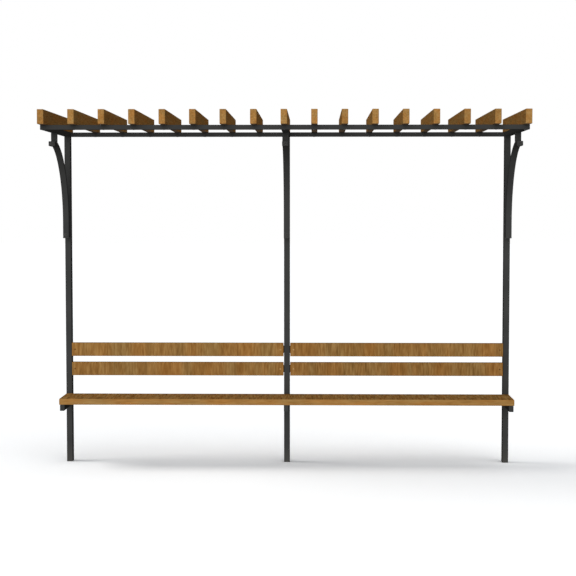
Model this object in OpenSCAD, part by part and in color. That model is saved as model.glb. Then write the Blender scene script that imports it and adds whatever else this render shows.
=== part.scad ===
// Bench pergola: three steel posts in a row carry a cantilevered top frame
// with timber rafters, a timber bench on steel brackets and a slatted back.
// Millimetres. X runs along the bench, -Y is the front, Z is up. The origin is
// the centre of the middle post's foot.

/* [Posts] */
// Distance from post to post
bay = 1500; // [900:50:1800]
// Width of a post along the bench
post_w = 40; // [30:5:60]
// Depth of a post, front to back
post_d = 60; // [50:5:90]
// Thickness of the plate that closes a post's foot
foot_t = 6; // [3:1:12]
// Wall of the steel tubes
wall = 3; // [2:0.5:4]
// Outer corner radius of the steel tubes
tube_r = 4; // [3:0.5:6]

/* [Top frame] */
// Height of the underside of the top frame
frame_z = 2233; // [2180:1:2600]
// Height of the arms and rails
frame_h = 30; // [24:2:50]
// Depth of the two long rails, front to back
rail_d = 30; // [24:2:30]
// Width of the arms over the posts
arm_w = 40; // [30:5:60]
// From the middle of the posts to the front of the front rail
reach = 890; // [750:5:1100]
// Side of the square vents from the arms into the rails
vent = 12; // [8:1:16]

/* [Rafters] */
// Rafter spaces in one bay
rafter_steps = 8; // [5:1:8]
// Width of a rafter
rafter_w = 40; // [30:1:60]
// Height of a rafter
rafter_h = 91; // [60:1:140]
// Length of a rafter
rafter_l = 1090; // [1050:10:1500]
// How far the rafters stand out in front of the front rail
rafter_front = 100; // [40:1:160]

/* [Braces] */
// Straight length at the foot of a brace
brace_straight = 110; // [80:5:200]
// Radius of the inside of the bend
brace_r = 510; // [400:1:560]
// How far the toe's top lies below the crown of the bend
crown_cut = 11; // [5:1:14]
// Depth of the brace tube across the bend
brace_t = 22; // [18:1:30]
// Width of the brace tube
brace_w = 40; // [30:2:50]
// Wall of the brace tube
brace_wall = 2.5; // [1.5:0.5:3]
// Height of the level toe at the top of a brace
toe_h = 31; // [28:1:40]
// Length of the toe, front to back
toe_l = 102; // [80:1:120]
// Thickness of the hanger plate between arm and toe
hanger_t = 15; // [8:1:25]
// Height of the hanger plate
hanger_h = 58; // [50:1:60]
// Length of the spacer between brace and post
spacer_l = 57; // [30:1:60]
// Width and height of the spacer
spacer_w = 30; // [20:2:40]
// Height of the spacer above the lower end of the brace
spacer_up = 21; // [20:1:40]

/* [Bench] */
// Height of the seat
seat_z = 472; // [400:1:520]
// Thickness of the seat boards
seat_t = 40; // [28:2:50]
// Width of one seat board
board_w = 92; // [60:1:95]
// Gap between two seat boards
board_gap = 5; // [3:1:12]
// Width of a seat bracket
bracket_w = 30; // [20:2:40]
// Height of a seat bracket
bracket_h = 42; // [30:2:60]
// How far a seat bracket ends behind the front of the seat
bracket_back = 5; // [0:1:40]

/* [Backrest] */
// Height of the lower edge of the low slats
slat_z = 599; // [540:1:640]
// Height of one slat
slat_h = 92; // [70:1:110]
// Gap between the low and the top slat
slat_gap = 41; // [15:1:60]
// Thickness of the slats
slat_t = 30; // [20:1:40]
// Gap between a slat's end and the post
slat_end = 3; // [2:1:10]
// How far the slats stand in front of the posts
slat_proud = 15; // [0:1:25]
// Thickness of the lugs behind the slats
lug_t = 5; // [3:1:8]
// Length of a lug from the post's side
lug_l = 50; // [30:5:80]
// Height of a lug
lug_h = 50; // [30:5:65]

/* [Timber] */
// Radius of the eased timber edges
ease_r = 3; // [1:0.5:6]

/* [Hidden] */
SIDES = ["left", "centre", "right"];
RAFTERS = [for (i = [1 : 2 * rafter_steps + 1]) str("rafter_", i < 10 ? "0" : "", i)];
$fn = 48;
BEND_FN = 180;
eps = 1;
// Smallest corner radius inside a tube
min_r = 0.5;
// How far the top of the bend's end lies below the toe's top, where it runs into the toe
bend_sink = 0.5;
// How far the toe's top stands above the bend at the toe's back
toe_step = 1.5;

steel = [0.2, 0.2, 0.19];
timber = [0.6, 0.42, 0.24];

post_front = -post_d / 2;
post_back = post_d / 2;
half_l = bay + post_w / 2;
frame_top = frame_z + frame_h;
arm_front = rail_d - reach;
arm_back = post_back - rail_d;
brace_back = post_front - spacer_l;
brace_front = brace_back - brace_t;
bend_y = brace_front - brace_r;
toe_top = frame_z - hanger_h;
bend_z = toe_top + crown_cut - brace_r - brace_t;
brace_z = bend_z - brace_straight;
bend_angle = asin((toe_top - bend_sink - bend_z) / (brace_r + brace_t));
toe_back = bend_y + sqrt(pow(brace_r + brace_t, 2) - pow(toe_top - toe_step - bend_z, 2));
toe_front = toe_back - toe_l;
seat_d = 3 * board_w + 2 * board_gap;
seat_front = post_front - seat_d;
bracket_z = seat_z - seat_t - bracket_h;
slat_l = bay - post_w - 2 * slat_end;
slat_front = post_front - slat_proud;
slat_back = slat_front + slat_t;

// Place along the bench of a post: 0 left, 1 centre, 2 right
function post_x(i) = (i - 1) * bay;
// Height of the lower edge of a slat row: 0 low, 1 top
function slat_row(i) = slat_z + i * (slat_h + slat_gap);

// Rectangle with round corners, about the origin
module outline(w, h, r) {
    square([w - 2 * r, h], center = true);
    square([w, h - 2 * r], center = true);
    for (x = [-1, 1], y = [-1, 1])
        translate([x * (w / 2 - r), y * (h / 2 - r)]) circle(r);
}

// Section of the hollow in a tube of wall t whose outside is w by h
module hollow(w, h, t, r) {
    outline(w - 2 * t, h - 2 * t, max(r - t, min_r));
}

// Extrudes a section along X, about the middle: the section's x becomes Y, its y becomes Z
module along_x(l) {
    rotate([90, 0, 90]) linear_extrude(l, center = true) children();
}

// Extrudes a section from y0 to y1: the section's x stays X, its y becomes Z
module along_y(y0, y1) {
    translate([0, y1, 0]) rotate([90, 0, 0]) linear_extrude(y1 - y0) children();
}

// A post stands on a closed foot; its open top is covered by the arm and the back rail
module post(i) {
    color(steel) translate([post_x(i), 0, 0]) difference() {
        linear_extrude(frame_z) outline(post_w, post_d, tube_r);
        translate([0, 0, foot_t]) linear_extrude(frame_z) hollow(post_w, post_d, wall, tube_r);
    }
}

// An arm reaches forward from the back rail over the post to the front rail
module arm(i) {
    color(steel) translate([post_x(i), 0, frame_z + frame_h / 2])
        along_y(arm_front, arm_back) difference() {
            outline(arm_w, frame_h, tube_r);
            hollow(arm_w, frame_h, wall, tube_r);
        }
}

// A long rail with closed ends, about its own middle; vents open into the arms on the side dir
module rail(dir) {
    difference() {
        along_x(2 * half_l) outline(rail_d, frame_h, tube_r);
        along_x(2 * (half_l - wall)) hollow(rail_d, frame_h, wall, tube_r);
        for (i = [0 : 2])
            translate([post_x(i), dir * (rail_d - wall) / 2, 0])
                cube([vent, wall + 2 * eps, vent], center = true);
    }
}

module front_rail() {
    color(steel) translate([0, arm_front - rail_d / 2, frame_z + frame_h / 2]) rail(1);
}

module back_rail() {
    color(steel) translate([0, arm_back + rail_d / 2, frame_z + frame_h / 2]) rail(-1);
}

// The plate between the arm's underside and the brace's toe, at the back of the toe's top
module hanger(i) {
    color(steel) translate([post_x(i) - brace_w / 2, toe_back - hanger_t, toe_top])
        cube([brace_w, hanger_t, hanger_h]);
}

// Section of the brace tube, about the origin: x across the bend, y its width
module brace_section() {
    difference() {
        outline(brace_t, brace_w, tube_r);
        square([brace_t - 2 * brace_wall, brace_w - 2 * brace_wall], center = true);
    }
}

// A curved brace: a tube straight up beside the post, then bent forward, with a solid level toe
// that laps over the end of the bend. Its foot is open
module brace(i) {
    middle = brace_front + brace_t / 2;
    color(steel) translate([post_x(i), 0, 0]) union() {
        translate([0, middle, brace_z]) linear_extrude(brace_straight) rotate(90) brace_section();
        translate([0, bend_y, bend_z]) rotate([90, 0, 90]) rotate_extrude(angle = bend_angle, $fn = BEND_FN)
            translate([middle - bend_y, 0]) brace_section();
        translate([0, 0, toe_top - toe_h / 2]) along_y(toe_front, toe_back) outline(brace_w, toe_h, tube_r);
    }
}

// The spacer that holds the brace's foot off the post
module spacer(i) {
    color(steel) translate([post_x(i), 0, brace_z + spacer_up])
        along_y(brace_back, post_front) outline(spacer_w, spacer_w, tube_r);
}

// A seat bracket reaches forward from the post under the seat; its front end is closed
module seat_bracket(i) {
    front = seat_front + bracket_back;
    color(steel) translate([post_x(i), 0, bracket_z + bracket_h / 2]) difference() {
        along_y(front, post_front) outline(bracket_w, bracket_h, tube_r);
        along_y(front + wall, post_front + eps) hollow(bracket_w, bracket_h, wall, tube_r);
    }
}

// A board along X about its own middle, with all its edges eased: d deep and h high
module board(l, d, h) {
    intersection() {
        along_x(l) outline(d, h, ease_r);
        linear_extrude(h, center = true) outline(l, d, ease_r);
        rotate([90, 0, 0]) linear_extrude(d, center = true) outline(l, h, ease_r);
    }
}

// A rafter lies on both rails; n counts from the left
module rafter(n) {
    x = (n - 1 - rafter_steps) * bay / rafter_steps;
    y = rafter_l / 2 - reach - rafter_front;
    color(timber) translate([x, y, frame_top + rafter_h / 2])
        rotate(90) board(rafter_l, rafter_w, rafter_h);
}

// A seat board; row 0 is the front one
module seat_board(row) {
    y = seat_front + row * (board_w + board_gap) + board_w / 2;
    color(timber) translate([0, y, seat_z - seat_t / 2]) board(2 * half_l, board_w, seat_t);
}

// A back slat: side -1 left bay, 1 right bay; row 0 low, 1 top
module slat(side, row) {
    color(timber) translate([side * bay / 2, slat_front + slat_t / 2, slat_row(row) + slat_h / 2])
        board(slat_l, slat_t, slat_h);
}

// The lugs on the posts' sides that the slats are screwed to
module slat_lugs() {
    color(steel) for (side = [-1, 1], end = [-1, 1], row = [0, 1])
        translate([
            side * bay / 2 + end * (bay / 2 - post_w / 2 - lug_l / 2),
            slat_back + lug_t / 2,
            slat_row(row) + slat_h / 2
        ]) cube([lug_l, lug_t, lug_h], center = true);
}

for (i = [0 : 2]) {
    post(i);
    arm(i);
    hanger(i);
    brace(i);
    spacer(i);
    seat_bracket(i);
}
for (n = [1 : len(RAFTERS)])
    rafter(n);
front_rail();
back_rail();
seat_board(0);  // seat_board_front
seat_board(1);  // seat_board_middle
seat_board(2);  // seat_board_back
slat(-1, 1);  // top_slat_left
slat(1, 1);  // top_slat_right
slat(-1, 0);  // low_slat_left
slat(1, 0);  // low_slat_right
slat_lugs();
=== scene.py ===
"""A bench pergola: camera, light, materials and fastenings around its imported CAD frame. Metres."""
import math

import bpy
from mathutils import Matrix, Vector


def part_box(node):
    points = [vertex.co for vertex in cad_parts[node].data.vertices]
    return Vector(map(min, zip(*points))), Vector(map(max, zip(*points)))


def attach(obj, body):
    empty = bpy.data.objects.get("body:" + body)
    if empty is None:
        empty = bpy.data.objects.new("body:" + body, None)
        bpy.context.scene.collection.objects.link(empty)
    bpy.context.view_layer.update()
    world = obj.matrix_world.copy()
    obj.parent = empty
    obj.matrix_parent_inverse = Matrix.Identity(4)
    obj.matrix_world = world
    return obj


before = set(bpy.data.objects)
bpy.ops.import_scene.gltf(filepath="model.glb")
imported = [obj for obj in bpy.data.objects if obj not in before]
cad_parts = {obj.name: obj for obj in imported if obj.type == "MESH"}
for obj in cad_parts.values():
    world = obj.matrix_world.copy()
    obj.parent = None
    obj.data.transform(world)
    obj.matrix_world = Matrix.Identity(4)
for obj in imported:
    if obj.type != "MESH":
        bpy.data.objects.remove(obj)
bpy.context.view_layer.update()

SIDES = ("left", "centre", "right")
BAYS = ("left", "right")
SLAT_ROWS = ("top", "low")
RAILS = ("front_rail", "back_rail")
SEAT_BOARDS = ("front", "middle", "back")
AXIS_X, AXIS_Y, AXIS_Z = 0, 1, 2
BACK = Vector((0, 1, 0))
UP = Vector((0, 0, 1))
# The four corners of a level rectangle, counterclockwise from above
CORNERS = ((1, 1), (-1, 1), (-1, -1), (1, -1))
MM = 0.001


# ---------------------------------------------------------------- node graphs

class Graph:
    """A node tree under construction: an input may be a number, a tuple or another node's output."""

    def __init__(self, owner):
        owner.use_nodes = True
        self.nodes = owner.node_tree.nodes
        self.links = owner.node_tree.links
        self.nodes.clear()

    def put(self, socket, value):
        if isinstance(value, bpy.types.NodeSocket):
            self.links.new(value, socket)
        else:
            socket.default_value = value

    def add(self, kind, *values, output=0, **settings):
        """A new node of that kind, its inputs filled in order; returns one of its outputs."""
        node = self.nodes.new("ShaderNode" + kind)
        for key, value in settings.items():
            setattr(node, key, value)
        for socket, value in zip(node.inputs, values):
            self.put(socket, value)
        return node.outputs[output]

    def place(self):
        """The place on the object, in metres."""
        return self.add("TexCoord", output="Object")

    def normal(self):
        return self.add("NewGeometry", output="Normal")

    def part(self, vector, axis):
        """One of the three parts of a vector."""
        return self.add("SeparateXYZ", vector, output=axis)

    def math(self, operation, *values):
        return self.add("Math", *values, operation=operation)

    def vector(self, operation, *values):
        return self.add("VectorMath", *values, operation=operation)

    def noise(self, vector, scale, detail=2.0, roughness=0.5):
        node = self.nodes.new("ShaderNodeTexNoise")
        self.put(node.inputs["Vector"], vector)
        node.inputs["Scale"].default_value = scale
        node.inputs["Detail"].default_value = detail
        node.inputs["Roughness"].default_value = roughness
        return node.outputs["Fac"]

    def between(self, value, low, high, to_low=0.0, to_high=1.0):
        """value from low..high to to_low..to_high, clamped."""
        node = self.nodes.new("ShaderNodeMapRange")
        for name, number in (("From Min", low), ("From Max", high), ("To Min", to_low), ("To Max", to_high)):
            self.put(node.inputs[name], number)
        self.put(node.inputs["Value"], value)
        return node.outputs["Result"]

    def mix(self, factor, first, second, blend="MIX"):
        """Mixes two colours, each a node's output or (r, g, b). The node's sockets 6 and 7 take colours."""
        node = self.nodes.new("ShaderNodeMix")
        node.data_type = "RGBA"
        node.blend_type = blend
        self.put(node.inputs[0], factor)
        for socket, colour in ((node.inputs[6], first), (node.inputs[7], second)):
            self.put(socket, (*colour, 1) if isinstance(colour, tuple) else colour)
        return node.outputs[2]

    def ramp(self, factor, *stops):
        """Colours by place: stops are (place, (r, g, b))."""
        node = self.nodes.new("ShaderNodeValToRGB")
        elements = node.color_ramp.elements
        while len(elements) < len(stops):
            elements.new(0.5)
        for element, (place, colour) in zip(elements, stops):
            element.position = place
            element.color = (*colour, 1)
        self.put(node.inputs[0], factor)
        return node.outputs[0]

    def total(self, start, *parts):
        """start plus each part, a (value, its mean, weight), as its weighted departure from the mean."""
        result = start
        for value, mean, weight in parts:
            result = self.math("MULTIPLY_ADD", self.math("SUBTRACT", value, mean), weight, result)
        return result

    def bump(self, height, strength, distance):
        node = self.nodes.new("ShaderNodeBump")
        node.inputs["Strength"].default_value = strength
        node.inputs["Distance"].default_value = distance
        self.put(node.inputs["Height"], height)
        return node.outputs[0]

    def surface(self, **values):
        """The material's shader; a plain number or colour goes on its own socket."""
        shader = self.nodes.new("ShaderNodeBsdfPrincipled")
        for name, value in values.items():
            self.put(shader.inputs[name.replace("_", " ")], value)
        self.output(shader.outputs[0])

    def output(self, shader, kind="Material"):
        node = self.nodes.new("ShaderNodeOutput" + kind)
        self.links.new(shader, node.inputs[0])


def new_material(name):
    material = bpy.data.materials.new(name)
    return material, Graph(material)


# ---------------------------------------------------------------- camera, light and floor

CAMERA_PLACE = (0.1921, -9.8039, 1.7462)
CAMERA_PITCH = 3.196
CAMERA_YAW = 1.082
CAMERA_LENS = 89.423

# What the surroundings give to the object, and what the camera sees of them
AMBIENT = (0.270, 0.278, 0.290)
BACKGROUND = (1.0, 1.0, 1.0)
FLOOR_SIZE = 120.0
FLOOR_DROP = 0.0004
# What the floor throws back to the object, and what the camera sees of it
FLOOR_BOUNCE = (0.52, 0.52, 0.52)
FLOOR_SEEN = (1.785, 1.800, 1.815)

WHITE = (1.0, 1.0, 1.0)
WARM = (1.0, 0.985, 0.955)
WARMER = (1.0, 0.96, 0.91)
# name: (azimuth it comes from, elevation, strength, angle of its disc, colour, what it lights)
LAMPS = {
    "front_softbox": (-6.0, 8.0, 2.65, 44.0, WHITE, "object"),
    "left_key": (-77.0, 46.0, 0.60, 40.0, WARMER, "object"),
    "back_fill": (180.0, 15.0, 0.8, 60.0, WHITE, "object"),
    "floor_left": (-90.0, 45.0, 0.77, 30.0, WARM, "floor"),
    "floor_front": (30.0, 50.0, 0.60, 60.0, WARM, "floor"),
}


def make_camera():
    data = bpy.data.cameras.new("camera")
    data.lens = CAMERA_LENS
    camera = bpy.data.objects.new("camera", data)
    camera.location = CAMERA_PLACE
    camera.rotation_euler = (math.radians(90 - CAMERA_PITCH), 0, math.radians(CAMERA_YAW))
    bpy.context.scene.collection.objects.link(camera)
    bpy.context.scene.camera = camera


def seen_directly(graph):
    """1 for rays that show the surroundings themselves: camera, mirror and glass rays."""
    path = graph.nodes.new("ShaderNodeLightPath")
    seen = path.outputs["Is Camera Ray"]
    for ray in ("Is Glossy Ray", "Is Transmission Ray"):
        seen = graph.math("MAXIMUM", seen, path.outputs[ray])
    return seen


def make_world():
    world = bpy.data.worlds.new("studio")
    bpy.context.scene.world = world
    graph = Graph(world)
    light = graph.mix(seen_directly(graph), AMBIENT, BACKGROUND)
    graph.output(graph.add("Background", light, 1.0), "World")


def make_floor():
    """A plain pale floor; seen from the camera it is as white as the background and keeps the shadow."""
    material, graph = new_material("studio_floor")
    colour = graph.mix(seen_directly(graph), FLOOR_BOUNCE, FLOOR_SEEN)
    graph.output(graph.add("BsdfDiffuse", colour))
    half = FLOOR_SIZE / 2
    mesh = bpy.data.meshes.new("studio_floor")
    mesh.from_pydata([(x * half, y * half, -FLOOR_DROP) for x, y in CORNERS], [], [(0, 1, 2, 3)])
    mesh.materials.append(material)
    floor = bpy.data.objects.new("studio_floor", mesh)
    bpy.context.scene.collection.objects.link(floor)
    return floor


def link_light(lamp, floor, kind, state):
    """Sets whether the floor receives or blocks the lamp's light.

    INCLUDE: the floor is the only thing that does. EXCLUDE: it is the only thing that doesn't.
    """
    group = bpy.data.collections.new(f"{lamp.name}_{kind}")
    group.objects.link(floor)
    group.collection_objects[0].light_linking.link_state = state
    setattr(lamp.light_linking, kind + "_collection", group)


def make_lamps(floor):
    """Wide suns: azimuth 0 is the front, -90 the left end. Each lights the object or the floor."""
    for name, (azimuth, elevation, strength, angle, colour, target) in LAMPS.items():
        data = bpy.data.lights.new(name, "SUN")
        data.energy = strength
        data.color = colour
        data.angle = math.radians(angle)
        lamp = bpy.data.objects.new(name, data)
        turn, rise = math.radians(azimuth), math.radians(elevation)
        source = Vector((math.sin(turn) * math.cos(rise), -math.cos(turn) * math.cos(rise), math.sin(rise)))
        lamp.rotation_euler = source.to_track_quat("Z", "Y").to_euler()
        bpy.context.scene.collection.objects.link(lamp)
        if target == "floor":
            link_light(lamp, floor, "receiver", "INCLUDE")
        else:
            link_light(lamp, floor, "receiver", "EXCLUDE")
            link_light(lamp, floor, "blocker", "EXCLUDE")


# ---------------------------------------------------------------- steel and plastic

PAINT_SHADES = ((0.035, 0.0355, 0.035), (0.047, 0.0475, 0.0465))
PAINT_SPECK = (0.085, 0.085, 0.08)
# Lighter paint on the edges: partly worn paint, partly a painted edge highlight
PAINT_WEAR_AND_HIGHLIGHT = (0.11, 0.11, 0.105)
PAINT_EDGE = 0.003
DUST = (0.12, 0.11, 0.095)
# Height where the dust at the posts' feet ends, and below which it is full
DUST_TOP = 0.16
DUST_FULL = 0.02
STEEL_SHADES = ((0.030, 0.030, 0.029), (0.060, 0.059, 0.057))
BRONZE_SHADES = ((0.110, 0.046, 0.010), (0.170, 0.076, 0.018))
# Painted highlight: the colour of the screws beside the middle post
BRONZE_PAINTED_HIGHLIGHT = (0.40, 0.245, 0.100)
# Distance from the middle post where the painted highlight on the screws starts, and within which it is full
HIGHLIGHT_FROM = 0.30
HIGHLIGHT_WITHIN = 0.15
PLASTIC_SHADES = ((0.014, 0.014, 0.014), (0.024, 0.024, 0.024))


def near_edge(graph, radius):
    """0 on flat ground, up to 1 at an edge."""
    rounded = graph.add("Bevel", radius, samples=4)
    likeness = graph.add("VectorMath", rounded, graph.normal(), operation="DOT_PRODUCT", output="Value")
    return graph.between(likeness, 0.995, 0.80)


def clouded(graph, noise, shades):
    """From the dark to the light shade over the middle of a noise."""
    dark, light = shades
    return graph.ramp(noise, (0.3, dark), (0.7, light))


def frame_paint():
    """Satin charcoal powder coat: a fine orange peel, uneven sheen, edges lighter from wear and a painted
    highlight, dusty feet.
    """
    material, graph = new_material("frame_paint")
    place = graph.place()
    cloud = graph.noise(place, scale=3.5, detail=4, roughness=0.6)
    speck = graph.noise(place, scale=900)
    wear = graph.noise(place, scale=40, detail=4)
    peel = graph.noise(place, scale=420, roughness=0.45)
    sheen = graph.noise(place, scale=14, detail=3)

    base = clouded(graph, cloud, PAINT_SHADES)
    base = graph.mix(graph.between(speck, 0.60, 0.75, 0, 0.25), base, PAINT_SPECK)
    # Lighter edges in patches: worn paint and a painted edge highlight
    wear_and_highlight = graph.math("MULTIPLY", near_edge(graph, PAINT_EDGE), graph.between(wear, 0.45, 0.65))
    base = graph.mix(graph.math("MULTIPLY", wear_and_highlight, 0.18), base, PAINT_WEAR_AND_HIGHLIGHT)
    height = graph.math("ADD", graph.part(place, AXIS_Z), graph.math("MULTIPLY", cloud, 0.05))
    base = graph.mix(graph.between(height, DUST_TOP, DUST_FULL, 0, 0.22), base, DUST)
    graph.surface(
        Base_Color=base, Roughness=graph.between(sheen, 0.3, 0.7, 0.42, 0.56), Specular_IOR_Level=0.0,
        Normal=graph.bump(peel, strength=0.10, distance=0.0004),
    )
    return material


def dark_steel():
    """Blackened bolts and coach screws."""
    material, graph = new_material("dark_steel")
    place = graph.place()
    stain = graph.noise(place, scale=160, detail=3, roughness=0.6)
    brushed = graph.noise(place, scale=1500)
    graph.surface(
        Base_Color=clouded(graph, stain, STEEL_SHADES), Metallic=0.15,
        Roughness=graph.between(stain, 0.3, 0.7, 0.42, 0.6), Specular_IOR_Level=0.08,
        Normal=graph.bump(brushed, strength=0.15, distance=0.0001),
    )
    return material


def bronzed_steel():
    """The dark bronze screws in the slats, with a painted highlight on those at the middle post."""
    material, graph = new_material("bronzed_steel")
    place = graph.place()
    stain = graph.noise(place, scale=300, detail=3, roughness=0.6)
    from_middle = graph.math("ABSOLUTE", graph.part(place, AXIS_X))
    # Painted highlight on the screws near the middle post
    painted_highlight = graph.between(from_middle, HIGHLIGHT_FROM, HIGHLIGHT_WITHIN)
    graph.surface(
        Base_Color=graph.mix(painted_highlight, clouded(graph, stain, BRONZE_SHADES), BRONZE_PAINTED_HIGHLIGHT), Metallic=0.12,
        Roughness=graph.between(stain, 0.3, 0.7, 0.45, 0.6), Specular_IOR_Level=0.05,
    )
    return material


def black_plastic():
    """The caps pressed into the open tube ends."""
    material, graph = new_material("black_plastic")
    place = graph.place()
    cloud = graph.noise(place, scale=30, detail=3)
    grain = graph.noise(place, scale=1200)
    graph.surface(
        Base_Color=clouded(graph, cloud, PLASTIC_SHADES), Roughness=0.6, Specular_IOR_Level=0.3,
        Normal=graph.bump(grain, strength=0.2, distance=0.0002),
    )
    return material


# ---------------------------------------------------------------- timber

TIMBER_SHADES = ((0.175, 0.080, 0.0185), (0.295, 0.148, 0.0415), (0.415, 0.236, 0.081))
# How light the slats are beside the rest
SLAT_LIGHTNESS = 0.76
REDDER, GREENER = (1.06, 0.97, 0.86), (0.94, 1.03, 1.12)
DARK_LOG, LIGHT_LOG = (0.94, 0.93, 0.92), (1.06, 1.05, 1.03)
# Painted shade on the timber's undersides: how strongly they are darkened, and the grey they go to
UNDERSIDE_PAINTED_SHADE = 0.6
PAINTED_SHADE_GREY = (0.080, 0.085, 0.090)
EASED_EDGE = 0.004
# The share of the place along the grain that fibres and streaks keep, so that they are drawn out,
# and the share of that where level faces have a grain of their own
FIBRE_GRAIN = 0.045
STREAK_GRAIN = 0.14
LEVEL_GRAIN = 0.3
# Size of a cell along which a row of boards doesn't repeat
ENDLESS = 40.0
LOG_SHIFT = (7.3, 5.1, 9.7)
# Where a log's pith lies from its board, and how far that and the rings wander along it
PITH_SPREAD = (0.16, 0.16, 0.16)
PITH_START = (-0.10, -0.10, -0.10)
PITH_WANDER = (0.05, 0.05, 0.05)
RING_WANDER = 0.006
RING_WIDTH = 0.0055
# The means of a noise and of the late wood, and the wood's tone where everything is at its mean
NOISE_MEAN = 0.5
LATE_MEAN = 0.31
MEAN_TONE = 0.59


def stretched(graph, place, along, share):
    """The place with its part along that axis times share."""
    scale = [1.0, 1.0, 1.0]
    scale[along] = share
    return graph.vector("MULTIPLY", place, scale)


def log_cells(graph, origin, pitch):
    """The place within its own cell of the row, and the random colour of that cell's log."""
    from_origin = graph.vector("SUBTRACT", graph.place(), origin)
    cell = graph.vector("FLOOR", graph.vector("DIVIDE", from_origin, pitch))
    log = graph.add("TexWhiteNoise", cell, output="Color")
    return graph.vector("SUBTRACT", from_origin, graph.vector("MULTIPLY", cell, pitch)), log


def late_wood(graph, across, log_across, lengthwise):
    """From 0 at the start of each growth ring to 1 at its end; the rings run round the log's pith."""
    pith = graph.vector("MULTIPLY_ADD", log_across, PITH_SPREAD, PITH_START)
    wander = graph.vector("MULTIPLY", graph.add("TexNoise", lengthwise, output="Color"), PITH_WANDER)
    from_pith = graph.vector("ADD", graph.vector("SUBTRACT", across, pith), wander)
    radius = graph.add("VectorMath", from_pith, operation="LENGTH", output="Value")
    ripple = graph.math("MULTIPLY", graph.noise(lengthwise, scale=60, detail=3), RING_WANDER)
    ring = graph.math("FRACT", graph.math("DIVIDE", graph.math("ADD", radius, ripple), RING_WIDTH))
    return graph.math("POWER", ring, 2.2)


def wood_colour(graph, tone, pores, hue, log, shades):
    """The colour of a tone, darker in the pores, with turns of hue and each log's own lightness."""
    dark, middle, light = shades
    base = graph.ramp(tone, (0.0, dark), (0.5, middle), (1.0, light))
    base = graph.mix(graph.math("MULTIPLY", pores, 0.45), base, dark)
    base = graph.mix(1.0, base, graph.ramp(hue, (0.35, REDDER), (0.65, GREENER)), "MULTIPLY")
    share = graph.add("SeparateColor", log, output=1)
    return graph.mix(1.0, base, graph.ramp(share, (0.0, DARK_LOG), (1.0, LIGHT_LOG)), "MULTIPLY")


def timber(
    name, along, origin, pitch, shades=TIMBER_SHADES, figure=0.45, streaks=1.0, finest=115, bands=0.6,
    tint=34, edges=0.0, on_level=None, level_streaks=0.0,
):
    """Oiled hardwood boards in a row: each cell of size pitch from origin is cut from its own log.

    along is the axis of the grain, and shades are the dark, middle and light colours. figure, streaks
    and bands are how strongly the growth rings, the fine streaks and the wide bands show. finest and
    tint are how many streaks and turns of hue lie in a metre, and edges is how much painted shade
    darkens the eased edges. on_level is the axis of the grain on tops and undersides where that is
    another, and level_streaks is how much stronger the streaks are there. Undersides get painted shade too.
    """
    material, graph = new_material(name)
    rise = graph.part(graph.normal(), AXIS_Z)
    level = graph.between(graph.math("ABSOLUTE", rise), 0.5, 0.9)

    def drawn_out(place, share):
        """The place with its part along the grain times share."""
        upright = stretched(graph, place, along, share)
        if on_level is None:
            return upright
        flat = stretched(graph, place, on_level, share * LEVEL_GRAIN)
        return graph.vector("MULTIPLY_ADD", graph.vector("SUBTRACT", flat, upright), level, upright)

    own, log = log_cells(graph, origin, pitch)
    shifted = graph.vector("ADD", own, graph.vector("MULTIPLY", log, LOG_SHIFT))
    lengthwise = drawn_out(shifted, FIBRE_GRAIN)
    short = drawn_out(shifted, STREAK_GRAIN)
    late = late_wood(graph, drawn_out(own, 0.0), drawn_out(log, 0.0), lengthwise)
    fibre = graph.noise(lengthwise, scale=420, detail=4, roughness=0.7)
    streak = graph.noise(short, scale=finest, detail=1)
    band = graph.noise(lengthwise, scale=22)
    pores = graph.between(graph.noise(lengthwise, scale=1500, roughness=0.6), 0.60, 0.72)
    on_tops = graph.math("MULTIPLY", level, graph.math("SUBTRACT", streak, NOISE_MEAN))
    tone = graph.total(
        MEAN_TONE, (late, LATE_MEAN, -figure), (fibre, NOISE_MEAN, 0.8), (streak, NOISE_MEAN, streaks),
        (band, NOISE_MEAN, bands), (on_tops, 0.0, level_streaks),
    )
    base = wood_colour(graph, tone, pores, graph.noise(short, scale=tint), log, shades)
    # Painted shade: the undersides darkened towards a grey
    painted_underside_shade = graph.math("MULTIPLY", graph.between(rise, -0.5, -0.9), UNDERSIDE_PAINTED_SHADE)
    base = graph.mix(painted_underside_shade, base, PAINTED_SHADE_GREY)
    # Painted shade: the eased edges darkened towards the dark shade
    base = graph.mix(graph.math("MULTIPLY", near_edge(graph, EASED_EDGE), edges), base, shades[0])
    relief = graph.total(
        0.0, (fibre, NOISE_MEAN, 0.6), (pores, 0.0, -0.8), (late, 0.0, -0.25), (streak, NOISE_MEAN, 0.5),
    )
    graph.surface(
        Base_Color=base, Roughness=graph.between(fibre, 0.3, 0.7, 0.62, 0.80), Specular_IOR_Level=0.0,
        Normal=graph.bump(relief, strength=0.35, distance=0.0006),
    )
    return material


def rafter_timber():
    """Each rafter is a log of its own, with the grain from front to back."""
    low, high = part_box("rafter_01")
    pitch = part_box("rafter_02")[0].x - low.x
    gap = pitch - (high.x - low.x)
    return timber("rafter_timber", AXIS_Y, (low.x - gap / 2, -ENDLESS / 2, 0), (pitch, ENDLESS, ENDLESS))


def seat_timber():
    """Each board is a log of its own: the grain runs along its front, and across its top."""
    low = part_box("seat_board_front")[0]
    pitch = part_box("seat_board_middle")[0].y - low.y
    return timber(
        "seat_timber", AXIS_X, (-ENDLESS / 2, low.y - MM, 0), (ENDLESS, pitch, ENDLESS),
        streaks=0.8, bands=0.5, edges=0.3, on_level=AXIS_Y, level_streaks=1.6,
    )


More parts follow.
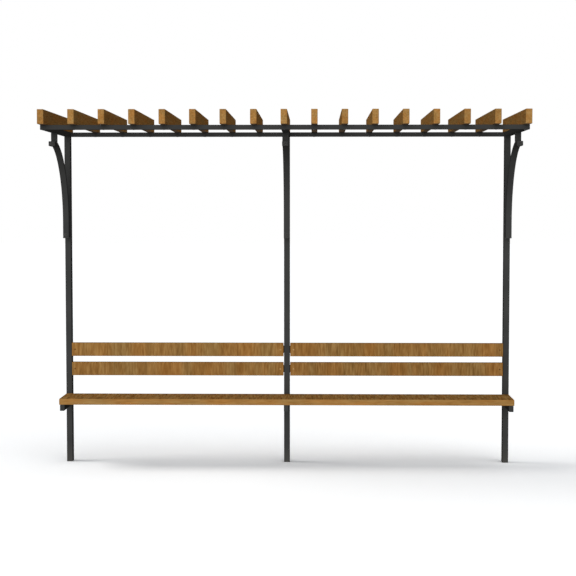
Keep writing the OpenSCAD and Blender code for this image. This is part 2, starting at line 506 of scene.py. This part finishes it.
def slat_timber():
    """The slats' fine upright streaks, in wood a little darker than the rest."""
    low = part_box("low_slat_left")[0]
    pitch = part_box("top_slat_left")[0].z - low.z
    shades = [tuple(SLAT_LIGHTNESS * channel for channel in shade) for shade in TIMBER_SHADES]
    return timber(
        "slat_timber", AXIS_Z, (0, -ENDLESS / 2, low.z - MM), (ENDLESS, ENDLESS, pitch), shades,
        figure=0.15, streaks=1.45, finest=105, bands=0.30, tint=9, edges=0.5,
    )


# ---------------------------------------------------------------- pieces

# Edges with a larger angle than this stay sharp
SHARP_FROM = math.radians(35)


class Piece:
    """A mesh in the making, from rings of points that are joined and closed."""

    def __init__(self, name, material, slot):
        self.name, self.material, self.slot = name, material, slot
        self.points, self.faces = [], []

    def rings(self, rings):
        """Adds one closed solid: rings of equally many points, joined in order, with both ends closed.

        Every ring runs counterclockwise, seen from beyond the last one.
        """
        start, count = len(self.points), len(rings[0])
        for ring in rings:
            self.points.extend(tuple(p) for p in ring)
        for r in range(len(rings) - 1):
            low, high = start + r * count, start + (r + 1) * count
            for i in range(count):
                j = (i + 1) % count
                self.faces.append((low + i, low + j, high + j, high + i))
        self.faces.append(tuple(start + i for i in reversed(range(count))))
        self.faces.append(tuple(start + (len(rings) - 1) * count + i for i in range(count)))

    def finish(self):
        mesh = bpy.data.meshes.new(self.name)
        mesh.from_pydata(self.points, [], self.faces)
        mesh.validate()
        mesh.materials.append(self.material)
        mesh.shade_smooth()
        mesh.set_sharp_from_angle(angle=SHARP_FROM)
        made = bpy.data.objects.new(self.name, mesh)
        bpy.context.scene.collection.objects.link(made)
        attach(made, "root")


QUARTER_TURN = math.radians(90)
HEX_SIDE = math.radians(60)
ROUND, HEXAGON = False, True
TURNED_SEGMENTS = 24
# A washer's radius by its head's, and its bevel by its thickness
WASHER_REACH = 1.35
WASHER_BEVEL = 0.25
DOME_STEPS = 5
# A weld bead's radius, how far it stops short of a corner, its sides, and half the length of a ripple
WELD = 1.5 * MM
WELD_INSET = 4 * MM
BEAD_SIDES = 10
BEAD_STEP = 2.2 * MM
CORNER_STEPS = 6


def basis(direction):
    """A turn that takes +Z to direction."""
    return Vector(direction).to_track_quat("Z", "Y").to_matrix()


def hexagon(radius, angle):
    """Distance to the side of a hexagon with that corner radius."""
    return radius * math.cos(HEX_SIDE / 2) / math.cos((angle % HEX_SIDE) - HEX_SIDE / 2)


def turned(piece, place, direction, rings):
    """A turned or hexagonal solid on place along direction: rings are (radius, height, ROUND or HEXAGON)."""
    turn = basis(direction)
    made = []
    for radius, height, form in rings:
        ring = []
        for k in range(TURNED_SEGMENTS):
            angle = math.tau * k / TURNED_SEGMENTS
            r = hexagon(radius, angle) if form == HEXAGON else radius
            ring.append(Vector(place) + turn @ Vector((r * math.cos(angle), r * math.sin(angle), height)))
        made.append(ring)
    piece.rings(made)


def washer(piece, place, direction, head, thickness):
    """A washer under a head of that radius; returns the place on top of it."""
    radius, bevel = head * WASHER_REACH, thickness * WASHER_BEVEL
    turned(piece, place, direction, [
        (radius, 0, ROUND), (radius, thickness - bevel, ROUND), (radius - bevel, thickness, ROUND),
    ])
    return Vector(place) + Vector(direction).normalized() * thickness


def socket_bolt(piece, place, direction, radius, height):
    """A button head with a hexagon socket, on a washer."""
    base = washer(piece, place, direction, radius, height * 0.3)
    rim = 0.25
    rings = [(radius, 0, ROUND), (radius, height * rim, ROUND)]
    for k in range(1, DOME_STEPS + 1):
        lean = QUARTER_TURN * k / (DOME_STEPS + 2)
        rings.append((radius * math.cos(lean), height * (rim + (1 - rim) * math.sin(lean)), ROUND))
    crown = rings[-1][1]
    mouth, socket = radius * 0.48, radius * 0.42
    rings += [
        (mouth, crown, ROUND), (socket, crown, HEXAGON),
        (socket, crown - height * 0.5, HEXAGON), (radius * 0.1, crown - height * 0.62, ROUND),
    ]
    turned(piece, base, direction, rings)


def hex_head(piece, place, direction, radius, height):
    """A hexagon head with a turned chamfer, on a washer."""
    base = washer(piece, place, direction, radius, height * 0.25)
    turned(piece, base, direction, [
        (radius * 0.5, 0, ROUND), (radius, 0, HEXAGON), (radius, height * 0.85, HEXAGON),
        (radius * 0.84, height, ROUND), (radius * 0.2, height, ROUND),
    ])


def nut(piece, place, direction, radius, height):
    """A nut on a washer, with the rounded end of its bolt."""
    hex_head(piece, place, direction, radius, height)
    bolt, end = radius * 0.5, height * 0.5
    turned(piece, Vector(place) + Vector(direction).normalized() * height * 1.2, direction, [
        (bolt, 0, ROUND), (bolt, end * 0.7, ROUND), (bolt * 0.75, end, ROUND),
    ])


def bead(piece, start, end):
    """A weld bead along a straight line: a rippled rod with tapered ends, partly sunk in the steel."""
    start, end = Vector(start), Vector(end)
    turn = basis(end - start)
    count = max(4, round((end - start).length / BEAD_STEP))
    rings = []
    for k in range(count + 1):
        t = k / count
        taper = math.sqrt(max(0.0, 1 - (2 * t - 1) ** 12))
        swell = WELD * (0.25 + 0.75 * taper) * (1 + 0.10 * math.cos(math.pi * k))
        centre = start.lerp(end, t)
        rings.append([
            centre + turn @ Vector((swell * math.cos(a), swell * math.sin(a), 0))
            for a in (math.tau * s / BEAD_SIDES for s in range(BEAD_SIDES))
        ])
    piece.rings(rings)


def level_bead(piece, left, right, y, z):
    """A bead from left to right, a little short of both."""
    bead(piece, (left + WELD_INSET, y, z), (right - WELD_INSET, y, z))


def upright_bead(piece, x, y, bottom, top):
    """A bead from bottom to top, a little short of both."""
    bead(piece, (x, y, bottom + WELD_INSET), (x, y, top - WELD_INSET))


def round_outline(middle, half_x, half_y, radius, z):
    """A level rectangle with round corners."""
    ring = []
    for quarter, (to_x, to_y) in enumerate(CORNERS):
        for k in range(CORNER_STEPS):
            angle = QUARTER_TURN * (quarter + (k + 0.5) / CORNER_STEPS)
            x = to_x * (half_x - radius) + radius * math.cos(angle)
            y = to_y * (half_y - radius) + radius * math.sin(angle)
            ring.append((middle.x + x, middle.y + y, z))
    return ring


def end_size(name, axis, end_axis):
    """A CAD node's size along axis at its low end along end_axis."""
    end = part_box(name)[0][end_axis]
    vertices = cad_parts[name].data.vertices
    values = [v.co[axis] for v in vertices if v.co[end_axis] < end + MM]
    return max(values) - min(values)


# ---------------------------------------------------------------- the dressed model

BOLT_RADIUS = 8.5 * MM
BOLT_HEIGHT = 6 * MM
SCREW_RADIUS = 4.2 * MM
SCREW_HEIGHT = 2.6 * MM
SCREW_INSET = 22 * MM
SLAT_NUT_RADIUS = SCREW_RADIUS * 1.2
SLAT_NUT_HEIGHT = SCREW_HEIGHT * 1.3
COACH_RADIUS = 7.5 * MM
COACH_HEIGHT = 1.0 * MM
# The brace caps: how far rim and plug lie inside the tube's outline, their corners, and their heights
RIM_INSET = 0.4 * MM
RIM_CHAMFER = 1.2 * MM
RIM_CORNER = 3.0 * MM
RIM_HEIGHT = 2.0 * MM
PLUG_INSET = 3.0 * MM
PLUG_CORNER = 1.0 * MM
PLUG_HEIGHT = 9.0 * MM


def brace_bolts(material):
    """One through bolt holds the foot of each brace and its spacer to the post."""
    piece = Piece("brace_bolts", material, "frame_paint")
    for side in SIDES:
        spacer_low, spacer_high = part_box("spacer_" + side)
        place = (spacer_low + spacer_high) / 2
        brace_front = spacer_low.y - end_size("brace_" + side, AXIS_Y, AXIS_Z)
        post_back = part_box("post_" + side)[1].y
        socket_bolt(piece, (place.x, brace_front, place.z), -BACK, BOLT_RADIUS, BOLT_HEIGHT)
        nut(piece, (place.x, post_back, place.z), BACK, BOLT_RADIUS, BOLT_HEIGHT)
    piece.finish()


def brace_caps(material):
    """A plastic cap pressed into the open foot of each brace, with a chamfered rim under the tube."""
    piece = Piece("brace_caps", material, "frame_paint")
    for side in SIDES:
        low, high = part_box("brace_" + side)
        half_x = (high.x - low.x) / 2
        half_y = end_size("brace_" + side, AXIS_Y, AXIS_Z) / 2
        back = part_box("spacer_" + side)[0].y
        middle = Vector(((low.x + high.x) / 2, back - half_y, 0))
        profile = (
            (RIM_INSET + RIM_CHAMFER, RIM_CORNER, -RIM_HEIGHT),
            (RIM_INSET, RIM_CORNER, -RIM_HEIGHT * 0.6),
            (RIM_INSET, RIM_CORNER, 0.0),
            (PLUG_INSET, PLUG_CORNER, 0.0),
            (PLUG_INSET, PLUG_CORNER, PLUG_HEIGHT),
        )
        piece.rings([
            round_outline(middle, half_x - inset, half_y - inset, corner, low.z + rise)
            for inset, corner, rise in profile
        ])
    piece.finish()


def toe_bolts(material):
    """A bolt head in the front of each brace's toe."""
    piece = Piece("toe_bolts", material, "frame_paint")
    for side in SIDES:
        low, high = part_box("brace_" + side)
        toe_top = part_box("hanger_" + side)[0].z
        middle = toe_top - end_size("brace_" + side, AXIS_Z, AXIS_Y) / 2
        socket_bolt(piece, ((low.x + high.x) / 2, low.y, middle), -BACK, BOLT_RADIUS, BOLT_HEIGHT)
    piece.finish()


def slat_screws(material):
    """A screw near each end of each slat, with its nut behind the lug."""
    piece = Piece("slat_screws", material, "frame_paint")
    lug_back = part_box("slat_lugs")[1].y
    for row in SLAT_ROWS:
        for bay in BAYS:
            low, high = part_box(f"{row}_slat_{bay}")
            middle = (low.z + high.z) / 2
            for x in (low.x + SCREW_INSET, high.x - SCREW_INSET):
                socket_bolt(piece, (x, low.y, middle), -BACK, SCREW_RADIUS, SCREW_HEIGHT)
                nut(piece, (x, lug_back, middle), BACK, SLAT_NUT_RADIUS, SLAT_NUT_HEIGHT)
    piece.finish()


def rafter_screws(material):
    """Coach screws up through both rails into every rafter, but for the back rail over the posts."""
    piece = Piece("rafter_screws", material, "frame_paint")
    rafters = sorted(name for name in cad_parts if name.startswith("rafter_"))
    posts = [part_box("post_" + side) for side in SIDES]
    for rail in RAILS:
        low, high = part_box(rail)
        y = (low.y + high.y) / 2
        for name in rafters:
            left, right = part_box(name)
            x = (left.x + right.x) / 2
            if rail == "back_rail" and any(a.x < x < b.x for a, b in posts):
                continue
            hex_head(piece, (x, y, low.z), -UP, COACH_RADIUS, COACH_HEIGHT)
    piece.finish()


def seat_screws(material):
    """Coach screws up through the brackets into the seat boards."""
    piece = Piece("seat_screws", material, "frame_paint")
    for side in SIDES:
        low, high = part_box("seat_bracket_" + side)
        for board in SEAT_BOARDS:
            board_low, board_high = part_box("seat_board_" + board)
            place = ((low.x + high.x) / 2, (board_low.y + board_high.y) / 2, low.z)
            hex_head(piece, place, -UP, COACH_RADIUS, COACH_HEIGHT)
    piece.finish()


def frame_welds(material):
    """Weld beads where posts, arms, rails and hangers meet."""
    piece = Piece("frame_welds", material, "frame_paint")
    rail_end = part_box("front_rail")[1].x
    for side in SIDES:
        post_low, post_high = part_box("post_" + side)
        arm_low, arm_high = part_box("arm_" + side)
        level_bead(piece, post_low.x, post_high.x, post_low.y, arm_low.z)
        low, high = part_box("hanger_" + side)
        for y in (low.y, high.y):
            for z in (low.z, high.z):
                level_bead(piece, low.x, high.x, y, z)
        for y in (arm_low.y, arm_high.y):
            for x in (arm_low.x, arm_high.x):
                if abs(x) < rail_end - MM:
                    upright_bead(piece, x, y, arm_low.z, arm_high.z)
    piece.finish()


def bench_welds(material):
    """Weld beads where the seat brackets and spacers meet the posts and braces."""
    piece = Piece("bench_welds", material, "frame_paint")
    for side in SIDES:
        for node in ("seat_bracket_" + side, "spacer_" + side):
            low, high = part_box(node)
            ends = (high.y,) if node.startswith("seat") else (low.y, high.y)
            for y in ends:
                for z in (low.z, high.z):
                    level_bead(piece, low.x, high.x, y, z)
                for x in (low.x, high.x):
                    upright_bead(piece, x, y, low.z, high.z)
    piece.finish()


def lug_welds(material):
    """Weld beads down both faces of every lug, at the side of its post."""
    piece = Piece("lug_welds", material, "frame_paint")
    faces = [corner.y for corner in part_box("slat_lugs")]
    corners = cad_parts["slat_lugs"].data.vertices
    for row in SLAT_ROWS:
        low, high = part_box(f"{row}_slat_left")
        heights = [v.co.z for v in corners if low.z < v.co.z < high.z]
        for left, right in zip(SIDES, SIDES[1:]):
            for x in (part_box("post_" + left)[1].x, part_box("post_" + right)[0].x):
                for y in faces:
                    upright_bead(piece, x, y, min(heights), max(heights))
    piece.finish()


def paint_nodes(paint):
    """Gives each CAD node its material: its timber if its name has that part, or else paint."""
    timbers = {"rafter_": rafter_timber(), "seat_board_": seat_timber(), "_slat_": slat_timber()}
    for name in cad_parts:
        material = next((timbers[part] for part in timbers if part in name), paint)
        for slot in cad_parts[name].material_slots:
            slot.material = material


def dress():
    """Gives the CAD nodes their materials and adds the fastenings, welds and caps."""
    paint = frame_paint()
    steel = dark_steel()
    paint_nodes(paint)
    brace_bolts(steel)
    toe_bolts(steel)
    slat_screws(bronzed_steel())
    rafter_screws(steel)
    seat_screws(steel)
    frame_welds(paint)
    bench_welds(paint)
    lug_welds(paint)
    brace_caps(black_plastic())


bpy.context.scene.view_settings.view_transform = "Standard"
make_camera()
make_world()
make_lamps(make_floor())
dress()
